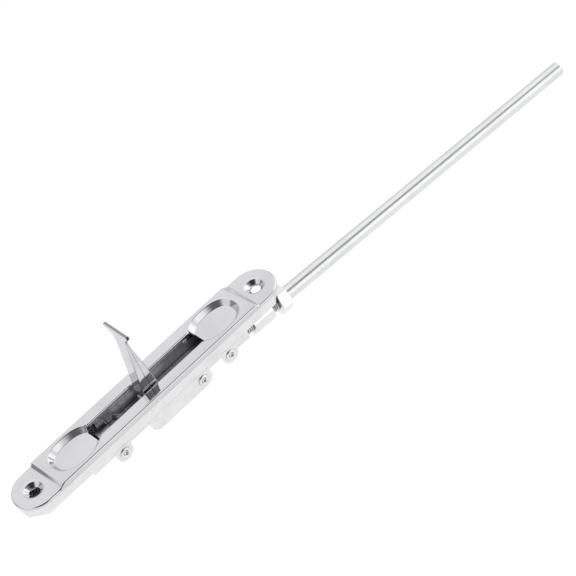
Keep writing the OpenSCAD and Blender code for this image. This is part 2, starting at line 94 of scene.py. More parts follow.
# Lever
PIVOT_Z = -1.05
LEAF_T = 0.8
LEAF_FROM = 3.0
APEX_S = 35.6
TIP_S = 44.5
TIP_BAND = 1.5
LEVER_HALF_W = 4.4
TIP_HALF_W = 9.25
LEAN = 3.9 / 30.1
SEAM_HALF = 0.03
SEAM_ROLL = 0.16
FOLD_R = 0.55
FOLD_SHARE = 0.4
LEAF_SPLIT = np.radians(50)

# Hollow rivets
RIVET_X = (-29.0, 24.0, 43.0)
RIVET_Z = -12.55
RIVET_BORE_R = 1.3
DIMPLE_RIM_Y = 9.2
DIMPLE_DEPTH = 0.7

# Rod, measured along its own axis from the clevis pin
CLEVIS = (52.0, 0.0, -14.6)
DROOP = np.radians(4.4)
ROD_R = 4.0
THREAD_ROOT = 3.4
CORE_R = 3.55
PITCH = 1.25
STUD_FROM = 7.0
STUD_TO = 11.0
SLEEVE_END = 24.0
THREAD_END = 35.4
RUN_OUT = 0.6
ROD_END = 242.0
ROD_BEVEL = 0.75


# Painted shade in corners and thread roots, painted shade on the sheared edges of the lever's tip, and the
# roughness of the film inside the casing
CORNER_SHADE = (0.20, 0.21, 0.205)
ROOT_SHADE = (0.16, 0.18, 0.17)
CUT_TOP_SHADE = (0.40, 0.40, 0.41)
CUT_SIDE_SHADE = (0.05, 0.05, 0.055)
FILM_ROUGH = 0.36

# Studio: level of the table in metres, place of the camera in millimetres, and its lens
TABLE_Z = -0.042
CAMERA_AT = (-235.73, -678.72, 695.26)
CAMERA_BACK = (-0.3155, -0.6555, 0.6862)
CAMERA_RIGHT = (0.6954, -0.6517, -0.3028)
LENS = 128.5


def join_grid(rows, cols, loop=False):
    """Quads of a grid of rows by cols points; with loop, the last row is joined to the first."""
    i, j = np.meshgrid(np.arange(rows if loop else rows - 1), np.arange(cols - 1), indexing="ij")
    k = (i + 1) % rows
    return np.stack([i * cols + j, k * cols + j, k * cols + j + 1, i * cols + j + 1], -1).reshape(-1, 4)


def make_piece(name, patches, outward, body, replaced, loops=()):
    """Joins grids of points in millimetres into one smooth mesh and merges shared borders. outward gives, for
    the face centres, the side that faces have to look towards on the whole."""
    points, quads, start = [], [], 0
    for number, patch in enumerate(patches):
        rows, cols = patch.shape[:2]
        points.append(patch.reshape(-1, 3) * MM)
        quads.append(join_grid(rows, cols, number in loops) + start)
        start += rows * cols
    mesh = bpy.data.meshes.new(name)
    mesh.from_pydata(np.concatenate(points), [], np.concatenate(quads).tolist())
    net = bmesh.new()
    net.from_mesh(mesh)
    bmesh.ops.remove_doubles(net, verts=net.verts, dist=2e-6)
    bmesh.ops.dissolve_degenerate(net, edges=net.edges, dist=1e-7)
    bmesh.ops.recalc_face_normals(net, faces=net.faces)
    net.to_mesh(mesh)
    net.free()
    count = len(mesh.polygons)
    centres, normals, areas = np.zeros(count * 3), np.zeros(count * 3), np.zeros(count)
    mesh.polygons.foreach_get("center", centres)
    mesh.polygons.foreach_get("normal", normals)
    mesh.polygons.foreach_get("area", areas)
    side = outward(centres.reshape(-1, 3) / MM)
    if np.sum(areas * np.sum(normals.reshape(-1, 3) * side, 1)) < 0:
        mesh.flip_normals()
    mesh.polygons.foreach_set("use_smooth", np.ones(count, bool))
    piece = bpy.data.objects.new(name, mesh)
    bpy.context.scene.collection.objects.link(piece)
    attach(piece, body)
    if replaced:
        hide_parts(*replaced)
    return piece


def add_wall(piece, thickness):
    """Gives a sheet its thickness, inwards from the surface that was worked out."""
    wall = piece.modifiers.new("wall", "SOLIDIFY")
    wall.thickness = thickness * MM
    wall.offset = -1


def stack(x, y, z):
    """One array of points from coordinates that spread over the same grid."""
    return np.stack(np.broadcast_arrays(x, y, z), -1).astype(float)


def half_turn(patch):
    """The same patch at the other end of the plate: turned by half a circle about Z."""
    return patch * np.array([-1, -1, 1])


def step_height(x, y):
    """Height of the plate's top: the raised middle falls to the land on the S curve 6t5 - 15t4 + 10t3. Across
    the plate the step changes in a straight line from long to steep."""
    share = (PLATE_HALF_W - y * np.sign(x)) / (2 * PLATE_HALF_W)
    middle = STEP_LONG[0] + share * (STEP_STEEP[0] - STEP_LONG[0])
    half = STEP_LONG[1] + share * (STEP_STEEP[1] - STEP_LONG[1])
    t = np.clip((np.abs(x) - middle + half) / (2 * half), 0, 1)
    return FACE_Z - (FACE_Z - LAND_TOP) * t**3 * (10 - 15 * t + 6 * t**2)


def oval_half_width(x):
    """Half width of a recess's oval along the plate: a superellipse, with fuller corners than an ellipse."""
    reach = np.clip(np.abs(np.abs(x) - OVAL_X) / OVAL_A, 0, 1)
    return OVAL_B * (1 - reach**OVAL_POWER) ** (1 / OVAL_POWER)


def oval_radius(angle):
    """The same superellipse as a distance from its centre."""
    ends = np.abs(np.cos(angle) / OVAL_A) ** OVAL_POWER
    sides = np.abs(np.sin(angle) / OVAL_B) ** OVAL_POWER
    return (ends + sides) ** (-1 / OVAL_POWER)


def flared(x, y):
    """Half width of the opening towards the slot: a rounded maximum of the oval's half width y and the
    lip's."""
    soft = NECK_BLEND * np.clip((OVAL_X - np.abs(x)) / OVAL_A, 0, 1)
    return (y + NECK_HALF_W + np.sqrt((y - NECK_HALF_W) ** 2 + soft**2)) / 2


def recess_rim():
    """Half of a recess's rim, from the slot to the far end, and the points it is joined to on the flat's
    border: straight across the plate on the slot's side of the oval's centre, and along rays from that centre
    past it."""
    corner = np.arctan2(EDGE_Y, RISER_FROM - OVAL_X)
    start = np.arctan2(oval_half_width(SLOT_END), SLOT_END - OVAL_X)
    sweep = np.concatenate([np.linspace(start, np.pi / 2, 48)[:-1], np.linspace(np.pi / 2, corner, 24)[:-1],
                            np.linspace(corner, 0, 24)])
    x = OVAL_X + oval_radius(sweep) * np.cos(sweep)
    y = oval_radius(sweep) * np.sin(sweep)
    before = sweep > np.pi / 2 + 1e-9
    y = np.where(before, flared(x, y), y)
    on_side = sweep >= corner - 1e-9
    side_x = np.where(before, x, OVAL_X + EDGE_Y / np.tan(np.where(on_side, sweep, 1)))
    end_y = (RISER_FROM - OVAL_X) * np.tan(np.where(on_side, 0, sweep))
    border = np.stack([np.where(on_side, side_x, RISER_FROM), np.where(on_side, EDGE_Y, end_y)], -1)
    return np.stack([x, y], -1), border


def wall_profile():
    """Section of a recess wall, as distance in from the rim and depth: a roll over the rim, a straight slope
    that touches both rolls, and a small roll into the floor. Given from the floor up."""
    rolls = RIM_ROLL + FOOT_ROLL
    drop = RECESS_DEPTH - rolls
    slope_l = np.sqrt(RECESS_WALL**2 + drop**2 - rolls**2)
    slope = np.arctan2(drop, RECESS_WALL) + np.arctan2(rolls, slope_l)
    turn = np.linspace(0, slope, 9)
    share = np.linspace(0, 1, 12)[1:-1]
    rim_in, rim_deep = RIM_ROLL * np.sin(turn), RIM_ROLL * (1 - np.cos(turn))
    foot_in, foot_deep = RECESS_WALL - FOOT_ROLL * np.sin(turn), RECESS_DEPTH - FOOT_ROLL * (1 - np.cos(turn))
    run_in = rim_in[-1] + share * (foot_in[-1] - rim_in[-1])
    run_deep = rim_deep[-1] + share * (foot_deep[-1] - rim_deep[-1])
    inside = np.concatenate([foot_in, run_in[::-1], rim_in[::-1]])
    depth = np.concatenate([foot_deep, run_deep[::-1], rim_deep[::-1]])
    return inside[:, None, None], depth[:, None]


def recess_patch():
    """One finger recess with the flat round it. Across: floor from the middle line out, then the wall by its
    section, then the flat out to the straight border. The wall stands square to the rim's own run."""
    rim, border = recess_rim()
    flip = np.array([1, -1])
    rim, border = (np.concatenate([half, (half * flip)[-2::-1]]) for half in (rim, border))
    run = np.gradient(rim, axis=0)
    inward = np.stack([run[:, 1], -run[:, 0]], -1)
    inward /= np.linalg.norm(inward, axis=1, keepdims=True)
    foot = rim + inward * RECESS_WALL
    spine_x = np.where(foot[:, 0] > OVAL_X, OVAL_X + 0.45 * (foot[:, 0] - OVAL_X), foot[:, 0])
    spine = np.stack([spine_x, np.zeros(len(foot))], -1)
    floor_share = np.linspace(0, 1, 8)[:-1, None, None]
    floor = spine + floor_share * (foot - spine)
    distance, depth = wall_profile()
    wall = rim + inward * distance
    flat = rim + FLAT_SHARES[1:, None, None] * (border - rim)
    plan = np.concatenate([floor, wall, flat])
    heights = np.concatenate([
        np.full(floor.shape[:2], FACE_Z - RECESS_DEPTH),
        np.broadcast_to(FACE_Z - depth, wall.shape[:2]),
        np.full(flat.shape[:2], FACE_Z),
    ])
    return stack(plan[..., 0], plan[..., 1], heights)


def slot_side():
    """The flat beside the slot and its lip: a quarter ellipse from the flaring line, then straight down."""
    along = np.linspace(-SLOT_END, SLOT_END, 61)[:, None]
    line = flared(along, oval_half_width(along))
    roll = np.linspace(0, np.pi / 2, 12)[1:]
    flat_y = line + FLAT_SHARES[::-1] * (EDGE_Y - line)
    roll_y = SLOT_HALF_W + (line - SLOT_HALF_W) * (1 - np.sin(roll))
    roll_z = FACE_Z - LIP_R * (1 - np.cos(roll))
    drop_z = np.linspace(FACE_Z - LIP_R, FACE_Z - LIP_DEPTH, 4)[1:]
    y = np.concatenate([flat_y, roll_y, np.full((len(along), 3), SLOT_HALF_W)], axis=1)
    z = np.concatenate([np.full(flat_y.shape[1], FACE_Z), roll_z, drop_z])
    return stack(along, y, z)


def riser_patch(border_y):
    """The step from the raised middle to the land: the S curve in X, carried straight across in Y."""
    x = np.linspace(RISER_FROM, RISER_TO, 45)[:, None]
    return stack(x, border_y, step_height(x, border_y))


def land_border(border_y):
    """Border of an end land as seen from its screw hole: the straight foot of the riser, then the round end.
    Rays from the hole meet the straight sides at EDGE_Y, or past END_X the circle of that radius."""
    corner = np.arctan2(EDGE_Y, RISER_TO - SCREW_X)
    rays = np.linspace(-corner, corner, 97)[1:-1]
    straight_x = SCREW_X + EDGE_Y / np.maximum(np.abs(np.sin(rays)), 1e-9) * np.cos(rays)
    shift = SCREW_X - END_X
    reach = -shift * np.cos(rays) + np.sqrt(EDGE_Y**2 - (shift * np.sin(rays)) ** 2)
    on_side = straight_x <= END_X
    x = np.where(on_side, straight_x, SCREW_X + reach * np.cos(rays))
    y = np.where(on_side, EDGE_Y * np.sign(rays), reach * np.sin(rays))
    foot = np.stack([np.full(len(border_y), RISER_TO), border_y], -1)
    return foot, np.stack([x, y], -1)


def land_patch(foot, end):
    """An end land: rings from the screw hole's throat up the countersink, over its brim, to the border."""
    border = np.concatenate([foot, end])
    ray = border - np.array([SCREW_X, 0])
    ray /= np.linalg.norm(ray, axis=1, keepdims=True)
    slide = np.linspace(0, 1, 15)
    cone = HOLE_R + (SINK_FLAT_R - HOLE_R) * slide
    brim = np.clip((cone - (2 * SINK_R - SINK_FLAT_R)) / (2 * (SINK_FLAT_R - SINK_R)), 0, 1)
    rise = THROAT + (LAND_TOP - THROAT) * np.minimum((cone - HOLE_R) / (SINK_R - HOLE_R), 1)
    rise -= BRIM_DIP * np.sin(np.pi * brim) ** 2
    radius = np.concatenate([np.full(3, HOLE_R), cone])
    height = np.concatenate([np.linspace(-THROAT, THROAT, 4)[:-1], rise])
    rings = np.array([SCREW_X, 0]) + ray * radius[:, None, None]
    share = np.linspace(0, 1, 8)[1:, None, None]
    flat = rings[-1] + share * (border - rings[-1])
    plan = np.concatenate([rings, flat])
    heights = np.concatenate([height, np.full(len(flat), LAND_TOP)])[:, None]
    return stack(plan[..., 0], plan[..., 1], heights).transpose(1, 0, 2)


def rim_patch(path):
    """The plate's edge: a faint rise of half a cosine wave, a quarter circle, then straight down to the
    underside. Each point of the path moves out along the plate's own outward direction there."""
    out = np.where(np.abs(path[:, :1]) <= END_X, path * [0, 1], path - np.sign(path) * [END_X, 0])
    out = out / np.linalg.norm(out, axis=1, keepdims=True)
    top = step_height(path[:, 0], path[:, 1])
    rise = np.linspace(0, 1, 7)[:-1]
    roll = np.linspace(0, np.pi / 2, 10)
    drop = np.linspace(0, 1, 5)[1:]
    reach = np.concatenate([BEAD_W * rise, BEAD_W + RIM_R * np.sin(roll), np.full(len(drop), BEAD_W + RIM_R)])
    crest = top[:, None] + BEAD_H
    z = np.concatenate([
        top[:, None] + BEAD_H * (1 - np.cos(np.pi * rise)) / 2,
        crest - RIM_R * (1 - np.cos(roll)),
        crest - RIM_R + drop * (LAND_UNDER - crest + RIM_R),
    ], axis=1)
    plan = path[:, None] + out[:, None] * reach[:, None]
    return stack(plan[..., 0], plan[..., 1], z)


def build_faceplate():
    """The pressed plate as one sheet: recesses, slot sides, risers, lands and the turned-down edge."""
    recess = recess_patch()
    border = recess[-1, :, :2]
    on_riser = border[:, 0] > RISER_FROM - 1e-6
    border_y = border[on_riser, 1]
    riser = riser_patch(border_y)
    foot, end = land_border(border_y)
    land = land_patch(foot, np.concatenate([end, foot[:1]]))
    side = slot_side()
    riser_x = riser[1:, 0, 0]
    near_first = border[::-1]
    near_side = near_first[near_first[:, 1] <= -EDGE_Y + 1e-6][1:]
    far_side = near_side[::-1] * [1, -1]
    half = np.concatenate([
        np.stack([side[:, 0, 0], np.full(len(side), -EDGE_Y)], -1),
        near_side,
        np.stack([riser_x, np.full(len(riser_x), -EDGE_Y)], -1),
        end,
        np.stack([riser_x[::-1], np.full(len(riser_x), EDGE_Y)], -1),
        far_side,
    ])
    rim = rim_patch(np.concatenate([half, -half]))
    patches = [patch for one in (recess, side, riser, land) for patch in (one, half_turn(one))] + [rim]
    plate = make_piece("faceplate_skin", patches, lambda c: np.array([[0, 0, 1.0]]), "frame",
                       ["faceplate"], loops=(len(patches) - 1,))
    add_wall(plate, SHEET)
    return plate


def leaf_patch():
    """One folded leaf of the lever. Across: from the seam over a small roll, along a cheek, round the fold,
    over the web and back to the seam. Up: the fold's depth shrinks in a straight line to the apex, and above it
    the width grows along a circle into the flared tip."""
    s = np.concatenate([np.linspace(LEAF_FROM, APEX_S, 40), np.linspace(APEX_S, TIP_S - TIP_BAND, 14)[1:],
                        np.linspace(TIP_S - TIP_BAND, TIP_S, 4)[1:]])[:, None]
    depth = LEAF_T + np.maximum(APEX_S - s, 0) * LEAN
    rise, reach = TIP_S - TIP_BAND - APEX_S, TIP_HALF_W - LEVER_HALF_W
    flare_r = (rise**2 + reach**2) / (2 * reach)
    up = np.clip(s - APEX_S, 0, rise)
    width = LEVER_HALF_W + flare_r - np.sqrt(flare_r**2 - up**2)
    fold = np.minimum(FOLD_R, FOLD_SHARE * depth)
    edge = SEAM_ROLL
    roll = np.linspace(0, np.pi / 2, 5)
    bend = np.linspace(0, np.pi / 2, 7)
    run = np.linspace(0, 1, 6)[1:-1]
    seam_x = -SEAM_HALF - edge * (1 - np.cos(roll)) + 0 * s
    seam_y = width - edge * (1 - np.sin(roll))
    cheek_x = -SEAM_HALF - edge - run * (depth - fold - SEAM_HALF - edge)
    cheek_y = width + 0 * run
    fold_x = -(depth - fold) - fold * np.sin(bend)
    fold_y = width - fold * (1 - np.cos(bend))
    web_y = (width - fold) * np.linspace(1, 0, 9)[1:]
    web_x = -depth + 0 * web_y
    x = np.concatenate([seam_x, cheek_x, fold_x, web_x], axis=1)
    y = np.concatenate([seam_y, cheek_y, fold_y, web_y], axis=1)
    x = np.concatenate([x, x[:, -2::-1]], axis=1)
    y = np.concatenate([y, -y[:, -2::-1]], axis=1)
    return stack(x, y, PIVOT_Z + s)


def build_lever():
    """Both leaves, the second turned by half a circle about the lever's upright line."""
    leaf = leaf_patch()
    pieces = []
    for name, patch, side in (("lever_front_skin", leaf, -1.0), ("lever_back_skin", half_turn(leaf), 1.0)):
        piece = make_piece(name, [patch], lambda c, side=side: np.array([[side, 0, 0]]), "lever",
                           [name.replace("skin", "leaf")])
        add_wall(piece, LEAF_T - 0.1)
        split = piece.modifiers.new("sharp_edges", "EDGE_SPLIT")
        split.split_angle = LEAF_SPLIT
        pieces.append(piece)
    return pieces


def along_rod(u, radius, turn):
    """Points round the drooping rod: u along its axis from the clevis pin, radius and turn about it."""
    across, up = radius * np.cos(turn), radius * np.sin(turn)
    x = CLEVIS[0] + u * np.cos(DROOP) + up * np.sin(DROOP)
    z = CLEVIS[2] - u * np.sin(DROOP) + up * np.cos(DROOP)
    return stack(x, CLEVIS[1] + across, z)


def thread_radius(u, turn, crest, root):
    """A screw thread: the radius is a flattened triangle wave of the distance along a helix."""
    wave = np.abs((u / PITCH - turn / (2 * np.pi)) % 1 - 0.5) * 2
    return root + (crest - root) * np.clip(wave * 1.3 - 0.15, 0, 1)


def build_rivet_dimples():
    """The bottoms of the rivet bores: paraboloids of the distance from the rivet's axis, on both sides."""
    turn = np.linspace(0, 2 * np.pi, 33)[:, None]
    radius = RIVET_BORE_R * np.linspace(0, 1, 9)
    inset = DIMPLE_RIM_Y - DIMPLE_DEPTH * (1 - (radius / RIVET_BORE_R) ** 2)
    patches = [
        stack(x + radius * np.cos(turn), side * inset, RIVET_Z + radius * np.sin(turn))
        for x in RIVET_X for side in (-1, 1)
    ]
    return make_piece("rivet_dimples", patches, lambda c: c * np.array([[0, 1.0, 0]]), "frame", [])


def off_axis(centres):
    """The directions straight out from the rod's axis."""
    axis = np.array([np.cos(DROOP), 0, -np.sin(DROOP)])
    arm = centres - np.array(CLEVIS)
    return arm - (arm @ axis)[:, None] * axis


def mark_grooves(piece, root, crest):
    """Stores on each point how deep it lies in a thread: 1 at the root, falling in a straight line to 0 at the
    crest, and 0 past the thread's end."""
    count = len(piece.data.vertices)
    places = np.zeros(count * 3)
    piece.data.vertices.foreach_get("co", places)
    radius = np.linalg.norm(off_axis(places.reshape(-1, 3) / MM), axis=1)
    reach = (places.reshape(-1, 3)[:, 0] / MM - CLEVIS[0]) / np.cos(DROOP)
    groove = np.clip((crest - radius) / (crest - root), 0, 1) * (reach < THREAD_END + RUN_OUT)
    piece.data.attributes.new("groove", "FLOAT", "POINT").data.foreach_set("value", groove)


def build_stud_thread():
    """The screw thread on the stud between fork and sleeve, a shell round the plain core of the solid."""
    turn = np.linspace(0, 2 * np.pi, 65)[:, None]
    u = np.arange(STUD_FROM, STUD_TO + 1e-6, PITCH / 12)
    inner = np.full_like(turn, CORE_R - 0.1)
    radius = np.concatenate([inner, thread_radius(u, turn, ROD_R - 0.05, CORE_R + 0.02), inner], axis=1)
    u = np.concatenate([u[:1], u, u[-1:]])
    piece = make_piece("stud_thread_skin", [along_rod(u, radius, turn)], off_axis, "rod", [])
    mark_grooves(piece, CORE_R, ROD_R)
    return piece


def build_rod():
    """The drawn rod: threaded end, run-out, plain shank, rounded chamfer and flat end."""
    turn = np.linspace(0, 2 * np.pi, 65)[:, None]
    thread_u = np.arange(SLEEVE_END - 2, THREAD_END, PITCH / 12)
    shank_u = np.concatenate([[THREAD_END + 0.3], np.linspace(THREAD_END + 0.5, ROD_END - 0.9, 24)])
    bevel = np.linspace(0, np.pi / 2, 7)
    bevel_u = ROD_END - ROD_BEVEL + ROD_BEVEL * np.sin(bevel)
    bevel_r = ROD_R - ROD_BEVEL * (1 - np.cos(bevel))
    end_r = np.array([2.2, 1.0, 0.0])
    u = np.concatenate([thread_u[:1], thread_u, shank_u, bevel_u, np.full(3, ROD_END)])
    radius = np.concatenate([
        np.zeros_like(turn),
        thread_radius(thread_u, turn, ROD_R - 0.05, THREAD_ROOT),
        np.broadcast_to(np.concatenate([np.full(len(shank_u), ROD_R), bevel_r, end_r]),
                        (len(turn), len(shank_u) + len(bevel_u) + 3)),
    ], axis=1)
    patch = along_rod(u, radius, turn)
    piece = make_piece("rod_skin", [patch], off_axis, "rod", ["bolt_rod"])
    mark_grooves(piece, THREAD_ROOT, ROD_R)
    return piece


def node(tree, kind, **values):
    """A shader node with its settings and the plain values of its input sockets."""
    made = tree.nodes.new(kind)
    for name, value in values.items():
        if name in made.inputs:
            made.inputs[name].default_value = value
        else:
            setattr(made, name, value)
    return made


def new_group(name, inputs, outputs):
    """An empty shader node group with float inputs and the named outputs, and its two ends."""
    tree = bpy.data.node_groups.new(name, "ShaderNodeTree")
    for title, value in inputs.items():
        socket = tree.interface.new_socket(title, in_out="INPUT", socket_type="NodeSocketFloat")
        socket.default_value = value
    for title in outputs:
        tree.interface.new_socket(title, in_out="OUTPUT", socket_type="NodeSocketFloat")
    return tree, tree.nodes.new("NodeGroupInput"), tree.nodes.new("NodeGroupOutput")


def build_drawn_lines():
    """Fine lines left by rolling or drawing the metal: noise stretched far along X."""
    tree, given, result = new_group("drawn_lines", {"Fineness": 1500.0, "Stretch": 40.0}, ["Lines"])
    place = node(tree, "ShaderNodeTexCoord")
    parts = node(tree, "ShaderNodeSeparateXYZ")
    shrink = node(tree, "ShaderNodeMath", operation="DIVIDE")
    joined = node(tree, "ShaderNodeCombineXYZ")
    noise = node(tree, "ShaderNodeTexNoise", Detail=3.0, Roughness=0.6)
    tree.links.new(place.outputs["Object"], parts.inputs[0])
    tree.links.new(parts.outputs["X"], shrink.inputs[0])
    tree.links.new(given.outputs["Stretch"], shrink.inputs[1])
    tree.links.new(shrink.outputs[0], joined.inputs["X"])
    tree.links.new(parts.outputs["Y"], joined.inputs["Y"])
    tree.links.new(parts.outputs["Z"], joined.inputs["Z"])
    tree.links.new(joined.outputs[0], noise.inputs["Vector"])
    tree.links.new(given.outputs["Fineness"], noise.inputs["Scale"])
    tree.links.new(noise.outputs["Fac"], result.inputs["Lines"])
    return tree


def build_handling():
    """Wear of handled metal: soft cloudy smudges and sparse fine specks."""
    scales = {"Cloud Scale": 60.0, "Speck Scale": 900.0}
    tree, given, result = new_group("handling", scales, ["Smudge", "Speck"])
    place = node(tree, "ShaderNodeTexCoord")
    cloud = node(tree, "ShaderNodeTexNoise", Detail=4.0, Roughness=0.55, Distortion=0.4)
    soft = node(tree, "ShaderNodeMapRange", interpolation_type="SMOOTHSTEP")
    soft.inputs["From Min"].default_value = 0.38
    soft.inputs["From Max"].default_value = 0.72
    grains = node(tree, "ShaderNodeTexVoronoi", feature="F1")
    dots = node(tree, "ShaderNodeMapRange", interpolation_type="SMOOTHSTEP")
    dots.inputs["From Min"].default_value = 0.16
    dots.inputs["From Max"].default_value = 0.05
    tree.links.new(place.outputs["Object"], cloud.inputs["Vector"])
    tree.links.new(place.outputs["Object"], grains.inputs["Vector"])
    tree.links.new(given.outputs["Cloud Scale"], cloud.inputs["Scale"])
    tree.links.new(given.outputs["Speck Scale"], grains.inputs["Scale"])
    tree.links.new(cloud.outputs["Fac"], soft.inputs["Value"])
    tree.links.new(grains.outputs["Distance"], dots.inputs["Value"])
    tree.links.new(soft.outputs[0], result.inputs["Smudge"])
    tree.links.new(dots.outputs[0], result.inputs["Speck"])
    return tree


def build_works_shade_and_film():
    """Inside is the room between the side plates and above the casing floor. The shade mask is the part of it
    that lies short of the casing's ends, where the colour is darkened as painted shade."""
    limits = {"Half Length": 0.060, "Half Width": 0.0084, "Lowest": -0.0078}
    tree, given, result = new_group("works_shade_and_film", limits, ["Painted Shade", "Inside"])
    place = node(tree, "ShaderNodeTexCoord")
    parts = node(tree, "ShaderNodeSeparateXYZ")
    high = node(tree, "ShaderNodeMath", operation="GREATER_THAN")
    tree.links.new(place.outputs["Object"], parts.inputs[0])
    tree.links.new(parts.outputs["Z"], high.inputs[0])
    tree.links.new(given.outputs["Lowest"], high.inputs[1])
    mask = high.outputs[0]
    for axis, limit, title in (("Y", "Half Width", "Inside"), ("X", "Half Length", "Painted Shade")):
        away = node(tree, "ShaderNodeMath", operation="ABSOLUTE")
        near = node(tree, "ShaderNodeMath", operation="LESS_THAN")
        both = node(tree, "ShaderNodeMath", operation="MULTIPLY")
        tree.links.new(parts.outputs[axis], away.inputs[0])
        tree.links.new(away.outputs[0], near.inputs[0])
        tree.links.new(given.outputs[limit], near.inputs[1])
        tree.links.new(mask, both.inputs[0])
        tree.links.new(near.outputs[0], both.inputs[1])
        tree.links.new(both.outputs[0], result.inputs[title])
        mask = both.outputs[0]
    return tree


def build_cut_edge_shade():
    """Where the lever's tip gets painted shade on the edges left by shearing: high up, on faces along Y or
    upwards.
    """
    tree, given, result = new_group("cut_edge_shade", {"Lowest": 0.0395}, ["Side", "Top"])
    place = node(tree, "ShaderNodeTexCoord")
    parts = node(tree, "ShaderNodeSeparateXYZ")
    facing = node(tree, "ShaderNodeSeparateXYZ")
    high = node(tree, "ShaderNodeMath", operation="GREATER_THAN")
    away = node(tree, "ShaderNodeMath", operation="ABSOLUTE")
    tree.links.new(place.outputs["Object"], parts.inputs[0])
    tree.links.new(place.outputs["Normal"], facing.inputs[0])
    tree.links.new(parts.outputs["Z"], high.inputs[0])
    tree.links.new(given.outputs["Lowest"], high.inputs[1])
    tree.links.new(facing.outputs["Y"], away.inputs[0])
    for title, value in (("Side", away.outputs[0]), ("Top", facing.outputs["Z"])):
        across = node(tree, "ShaderNodeMath", operation="GREATER_THAN")
        across.inputs[1].default_value = 0.45
        both = node(tree, "ShaderNodeMath", operation="MULTIPLY")
        tree.links.new(value, across.inputs[0])
        tree.links.new(across.outputs[0], both.inputs[0])
        tree.links.new(high.outputs[0], both.inputs[1])
        tree.links.new(both.outputs[0], result.inputs[title])
    return tree


DRAWN_LINES = build_drawn_lines()
CUT_EDGE_SHADE = build_cut_edge_shade()
HANDLING = build_handling()
WORKS_SHADE_AND_FILM = build_works_shade_and_film()


def place_group(tree, group, **values):
    """A node group set in a material with its own values."""
    made = tree.nodes.new("ShaderNodeGroup")
    made.node_tree = group
    for title, value in values.items():
        made.inputs[title.replace("_", " ")].default_value = value
    return made


def tone(tree, mask, low, high):
    """A value that runs from low to high with a mask."""
    made = node(tree, "ShaderNodeMapRange")
    made.inputs["To Min"].default_value = low
    made.inputs["To Max"].default_value = high
    tree.links.new(mask, made.inputs["Value"])
    return made.outputs[0]


def blend_colour(tree, mask, low, high, under=None):
    """A colour that runs from low, or from a linked colour under it, to high with a mask."""
    made = node(tree, "ShaderNodeMix", data_type="RGBA")
    if under:
        tree.links.new(under, made.inputs[6])
    else:
        made.inputs[6].default_value = (*low, 1)
    made.inputs[7].default_value = (*high, 1)
    tree.links.new(mask, made.inputs[0])
    return made.outputs[2]


def metal(name, light, dark, rough, fineness, stretch, cloud, speck, bump, wave=0.0, inside_shade=None,
          shade_cut_edges=False):
    """A bare or plated metal. Smudges pull its colour from light to dark and its roughness over a range, drawn
    lines and specks make the bump, and wave adds the slow waviness of pressed sheet. The colour given for inside
    the casing is painted shade there, and brings painted shade in corners, from ambient occlusion, and in thread
    roots. The flag for the lever tip paints shade on its cut edges."""
    made = bpy.data.materials.new(name)
    made.use_nodes = True
    tree = made.node_tree
    shader = tree.nodes["Principled BSDF"]
    shader.inputs["Metallic"].default_value = 1.0
    lines = place_group(tree, DRAWN_LINES, Fineness=fineness, Stretch=stretch)
    wear = place_group(tree, HANDLING, Cloud_Scale=cloud, Speck_Scale=speck)
    colour = blend_colour(tree, wear.outputs["Smudge"], light, dark)
    if inside_shade:
        # Painted shade inside the casing, short of its ends
        inside = place_group(tree, WORKS_SHADE_AND_FILM)
        colour = blend_colour(tree, inside.outputs["Painted Shade"], None, inside_shade, colour)
        # Painted shade: ambient occlusion darkens corners and joints between parts towards a dark grey
        hollow = node(tree, "ShaderNodeAmbientOcclusion", samples=8, Distance=0.0014)
        corner = tone(tree, hollow.outputs["AO"], 1.0, 0.0)
        colour = blend_colour(tree, corner, None, CORNER_SHADE, colour)
        # Painted shade in thread roots: the deeper a point lies in the groove, the darker it is
        roots = node(tree, "ShaderNodeAttribute", attribute_name="groove")
        colour = blend_colour(tree, roots.outputs["Fac"], None, ROOT_SHADE, colour)
    if shade_cut_edges:
        # Painted shade on the lever tip's cut edges: mid grey on top, near black on the sides
        cut = place_group(tree, CUT_EDGE_SHADE)
        colour = blend_colour(tree, cut.outputs["Top"], None, CUT_TOP_SHADE, colour)
        colour = blend_colour(tree, cut.outputs["Side"], None, CUT_SIDE_SHADE, colour)
    tree.links.new(colour, shader.inputs["Base Color"])
    both = node(tree, "ShaderNodeMath", operation="MULTIPLY_ADD")
    both.inputs[1].default_value = 0.5
    tree.links.new(wear.outputs["Smudge"], both.inputs[0])
    tree.links.new(tone(tree, lines.outputs["Lines"], 0, 0.5), both.inputs[2])
    dull = tone(tree, both.outputs[0], *rough)
    if inside_shade:
        film = node(tree, "ShaderNodeMix", data_type="FLOAT")
        film.inputs[3].default_value = FILM_ROUGH
        tree.links.new(inside.outputs["Inside"], film.inputs[0])
        tree.links.new(dull, film.inputs[2])
        dull = film.outputs[0]
    tree.links.new(dull, shader.inputs["Roughness"])
    height = node(tree, "ShaderNodeMath", operation="MULTIPLY_ADD")
    height.inputs[1].default_value = -0.4
    tree.links.new(wear.outputs["Speck"], height.inputs[0])
    tree.links.new(lines.outputs["Lines"], height.inputs[2])
    fine = node(tree, "ShaderNodeBump", Strength=bump, Distance=0.00002)
    tree.links.new(height.outputs[0], fine.inputs["Height"])
    if wave:
        place = node(tree, "ShaderNodeTexCoord")
        slow = node(tree, "ShaderNodeTexNoise", Scale=45.0, Detail=1.0)
        sheet = node(tree, "ShaderNodeBump", Strength=wave, Distance=0.0005)
        tree.links.new(place.outputs["Object"], slow.inputs["Vector"])
        tree.links.new(slow.outputs["Fac"], sheet.inputs["Height"])
        tree.links.new(sheet.outputs["Normal"], fine.inputs["Normal"])
    tree.links.new(fine.outputs["Normal"], shader.inputs["Normal"])
    return made


